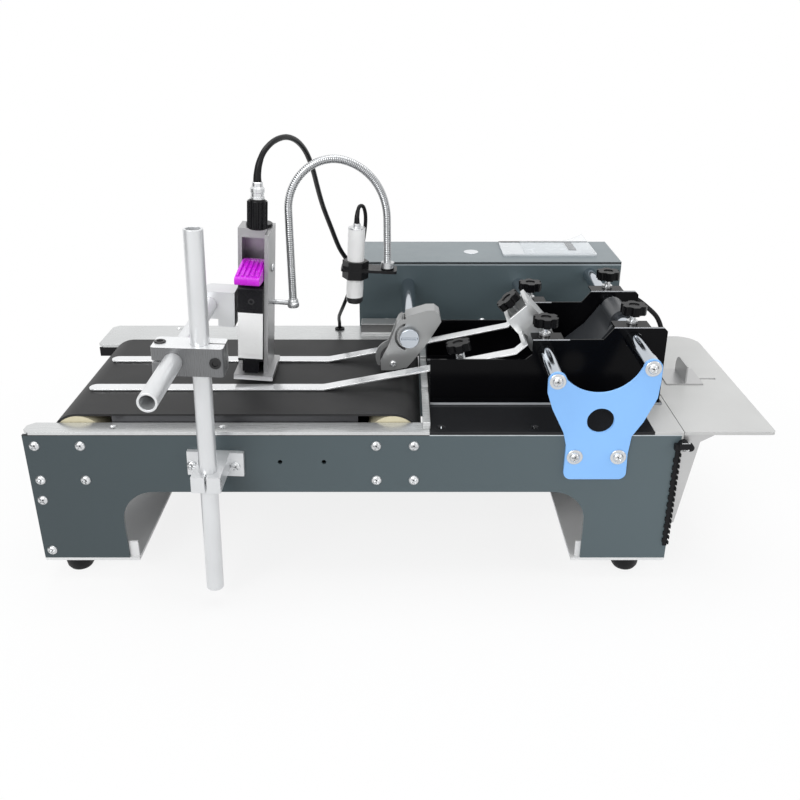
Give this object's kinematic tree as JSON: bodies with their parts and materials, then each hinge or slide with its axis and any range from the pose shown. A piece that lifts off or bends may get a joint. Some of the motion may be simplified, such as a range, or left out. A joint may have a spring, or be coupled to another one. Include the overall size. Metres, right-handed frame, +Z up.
{
  "type": "inkjet coding machine",
  "caption": "Desktop friction feeder with a flat belt, paper magazine and control box, and a post-mounted cartridge print head with a photo sensor on a gooseneck.",
  "frame": {"origin": "bottom centre of the whole object's box, without its cords, on the table", "axes": "+X along the belt from the outlet end to the tray end, +Y from the front plate to the control box, +Z up"},
  "size_m": [0.697, 0.521, 0.4071],
  "materials": {
    "side_plates": "satin",
    "side_rails": "satin",
    "cross_plates": "satin",
    "rubber_feet": "matte",
    "slider_bed": "brushed",
    "transport_belt": "matte",
    "feeder_deck": "gloss",
    "transition_strip": "brushed",
    "end_cover": "satin",
    "edge_trim": "matte",
    "tray": "satin",
    "tray_brackets": "satin",
    "tray_stop": "satin",
    "bar_end_plate": "satin",
    "guide_bars": "polished",
    "gate_shaft": "polished",
    "box_body": "satin",
    "box_lid": "satin",
    "display_panel": "satin",
    "frame_screws": "polished",
    "bearings": "machined",
    "drive_motor": "satin",
    "drive_belt": "matte",
    "control_board": "satin",
    "base_clamp": "satin",
    "cable_sockets": "matte",
    "side_lead": "satin",
    "drive_roller": "satin",
    "idler_roller": "satin",
    "motor_pulley": "machined",
    "feed_shaft": "satin",
    "feed_wheels": "matte",
    "gate_bracket": "satin",
    "separator_wheel": "matte",
    "front_guide": "gloss",
    "rear_guide": "gloss",
    "front_left_knob": "satin",
    "front_right_knob": "satin",
    "rear_left_knob": "satin",
    "rear_right_knob": "satin",
    "stack_ramp": "satin",
    "strip_block": "satin",
    "front_strip": "polished",
    "rear_strip": "polished",
    "block_knob": "satin",
    "strip_knob": "satin",
    "post_tube": "satin",
    "cross_clamp": "satin",
    "cross_tube": "satin",
    "head_clamp": "satin",
    "head_housing": "satin",
    "latch_lever": "gloss",
    "ink_cartridge": "satin",
    "head_connector": "satin",
    "gooseneck": "satin",
    "sensor_bracket": "satin",
    "photo_sensor": "satin",
    "head_cable": "satin",
    "sensor_cable": "satin"
  },
  "bodies": {
    "frame": {"side_plates": "side_plates", "side_rails": "side_rails", "cross_plates": "cross_plates", "rubber_feet": "rubber_feet", "slider_bed": "slider_bed", "transport_belt": "transport_belt", "feeder_deck": "feeder_deck", "transition_strip": "transition_strip", "end_cover": "end_cover", "edge_trim": "edge_trim", "tray": "tray", "tray_brackets": "tray_brackets", "bar_end_plate": "bar_end_plate", "guide_bars": "guide_bars", "gate_shaft": "gate_shaft", "box_body": "box_body", "box_lid": "box_lid", "display_panel": "display_panel", "frame_screws": "frame_screws", "bearings": "bearings", "drive_motor": "drive_motor", "drive_belt": "drive_belt", "control_board": "control_board", "base_clamp": "base_clamp", "cable_sockets": "cable_sockets", "side_lead": "side_lead"},
    "drive_roller_body": {"drive_roller": "drive_roller"},
    "idler_roller_body": {"idler_roller": "idler_roller"},
    "motor_pulley_body": {"motor_pulley": "motor_pulley"},
    "feed_roller": {"feed_shaft": "feed_shaft", "feed_wheels": "feed_wheels"},
    "gate": {"gate_bracket": "gate_bracket"},
    "gate_wheel": {"separator_wheel": "separator_wheel"},
    "front_guide_body": {"front_guide": "front_guide"},
    "rear_guide_body": {"rear_guide": "rear_guide"},
    "front_left_knob_body": {"front_left_knob": "front_left_knob"},
    "front_right_knob_body": {"front_right_knob": "front_right_knob"},
    "rear_left_knob_body": {"rear_left_knob": "rear_left_knob"},
    "rear_right_knob_body": {"rear_right_knob": "rear_right_knob"},
    "ramp": {"stack_ramp": "stack_ramp"},
    "stop": {"tray_stop": "tray_stop"},
    "hold_down": {"strip_block": "strip_block", "front_strip": "front_strip", "rear_strip": "rear_strip"},
    "block_knob_body": {"block_knob": "block_knob"},
    "strip_knob_body": {"strip_knob": "strip_knob"},
    "post": {"post_tube": "post_tube"},
    "clamp": {"cross_clamp": "cross_clamp"},
    "arm": {"cross_tube": "cross_tube"},
    "head": {"head_clamp": "head_clamp", "head_housing": "head_housing", "head_connector": "head_connector", "gooseneck": "gooseneck", "sensor_bracket": "sensor_bracket", "photo_sensor": "photo_sensor", "head_cable": "head_cable", "sensor_cable": "sensor_cable"},
    "latch": {"latch_lever": "latch_lever"},
    "cartridge": {"ink_cartridge": "ink_cartridge"}
  },
  "joints": [
    {"name": "motor_spin", "type": "hinge", "parent": "frame", "child": "motor_pulley_body", "pos_m": [0.0465, 0.1725, 0.092], "axis": [0, 1, 0], "continuous": true},
    {"name": "drive_roller_spin", "type": "hinge", "parent": "frame", "child": "drive_roller_body", "pos_m": [-0.0055, -0.0065, 0.144], "axis": [0, 1, 0], "continuous": true},
    {"name": "idler_roller_spin", "type": "hinge", "parent": "frame", "child": "idler_roller_body", "pos_m": [-0.3035, -0.0065, 0.144], "axis": [0, 1, 0], "continuous": true},
    {"name": "feed_roller_spin", "type": "hinge", "parent": "frame", "child": "feed_roller", "pos_m": [0.0995, -0.0065, 0.152], "axis": [0, 1, 0], "continuous": true},
    {"name": "gate_tilt", "type": "hinge", "parent": "frame", "child": "gate", "pos_m": [0.0105, -0.0045, 0.215], "axis": [0, 1, 0], "range_deg": [0, 35]},
    {"name": "gate_wheel_spin", "type": "hinge", "parent": "gate", "child": "gate_wheel", "pos_m": [-0.0062, -0.0045, 0.1856], "axis": [0, 1, 0], "continuous": true},
    {"name": "front_guide_slide", "type": "slide", "parent": "frame", "child": "front_guide_body", "axis": [0, 1, 0], "range_m": [-0.055, 0.001]},
    {"name": "rear_guide_slide", "type": "slide", "parent": "frame", "child": "rear_guide_body", "axis": [0, 1, 0], "range_m": [-0.003, 0.075]},
    {"name": "front_left_knob_turn", "type": "hinge", "parent": "front_guide_body", "child": "front_left_knob_body", "pos_m": [0.1425, -0.0445, 0.245], "axis": [0, 0, 1], "range_deg": [0, 360]},
    {"name": "front_right_knob_turn", "type": "hinge", "parent": "front_guide_body", "child": "front_right_knob_body", "pos_m": [0.2265, -0.0445, 0.245], "axis": [0, 0, 1], "range_deg": [0, 360]},
    {"name": "rear_left_knob_turn", "type": "hinge", "parent": "rear_guide_body", "child": "rear_left_knob_body", "pos_m": [0.1425, 0.0715, 0.245], "axis": [0, 0, 1], "range_deg": [0, 360]},
    {"name": "rear_right_knob_turn", "type": "hinge", "parent": "rear_guide_body", "child": "rear_right_knob_body", "pos_m": [0.2265, 0.0715, 0.245], "axis": [0, 0, 1], "range_deg": [0, 360]},
    {"name": "ramp_slide", "type": "slide", "parent": "frame", "child": "ramp", "axis": [0, 1, 0], "range_m": [-0.02, 0]},
    {"name": "tray_stop_slide", "type": "slide", "parent": "frame", "child": "stop", "axis": [1, 0, 0], "range_m": [-0.008, 0.025]},
    {"name": "hold_down_tilt", "type": "hinge", "parent": "frame", "child": "hold_down", "pos_m": [0.1425, -0.0075, 0.215], "axis": [0, 1, 0], "range_deg": [0, 7]},
    {"name": "block_knob_turn", "type": "hinge", "parent": "hold_down", "child": "block_knob_body", "pos_m": [0.11619, -0.0075, 0.24436], "axis": [-0.6691, 0, 0.7431], "range_deg": [0, 360]},
    {"name": "strip_knob_turn", "type": "hinge", "parent": "hold_down", "child": "strip_knob_body", "pos_m": [0.062, -0.0465, 0.20029], "axis": [-0.208, 0, 0.9781], "range_deg": [0, 360]},
    {"name": "post_slide", "type": "slide", "parent": "frame", "child": "post", "axis": [0.0349, 0, 0.9994], "range_m": [0, 0.1]},
    {"name": "clamp_slide", "type": "slide", "parent": "post", "child": "clamp", "axis": [0.0349, 0, 0.9994], "range_m": [-0.001, 0.08]},
    {"name": "arm_slide", "type": "slide", "parent": "clamp", "child": "arm", "axis": [0, 1, 0], "range_m": [-0.03, 0.03]},
    {"name": "head_tilt", "type": "hinge", "parent": "arm", "child": "head", "pos_m": [-0.18647, -0.0165, 0.2535], "axis": [0, 1, 0], "range_deg": [-30, 0.5]},
    {"name": "latch_turn", "type": "hinge", "parent": "head", "child": "latch", "pos_m": [-0.14246, -0.0035, 0.28501], "axis": [0.9976, 0, -0.0698], "range_deg": [-50, 0]},
    {"name": "cartridge_slide", "type": "slide", "parent": "head", "child": "cartridge", "axis": [0, 1, 0], "range_m": [-0.06, 0]}
  ],
  "couplings": [
    {"joint": "drive_roller_spin", "follows": "motor_spin", "ratio": 1},
    {"joint": "idler_roller_spin", "follows": "motor_spin", "ratio": 1},
    {"joint": "feed_roller_spin", "follows": "motor_spin", "ratio": 1}
  ]
}
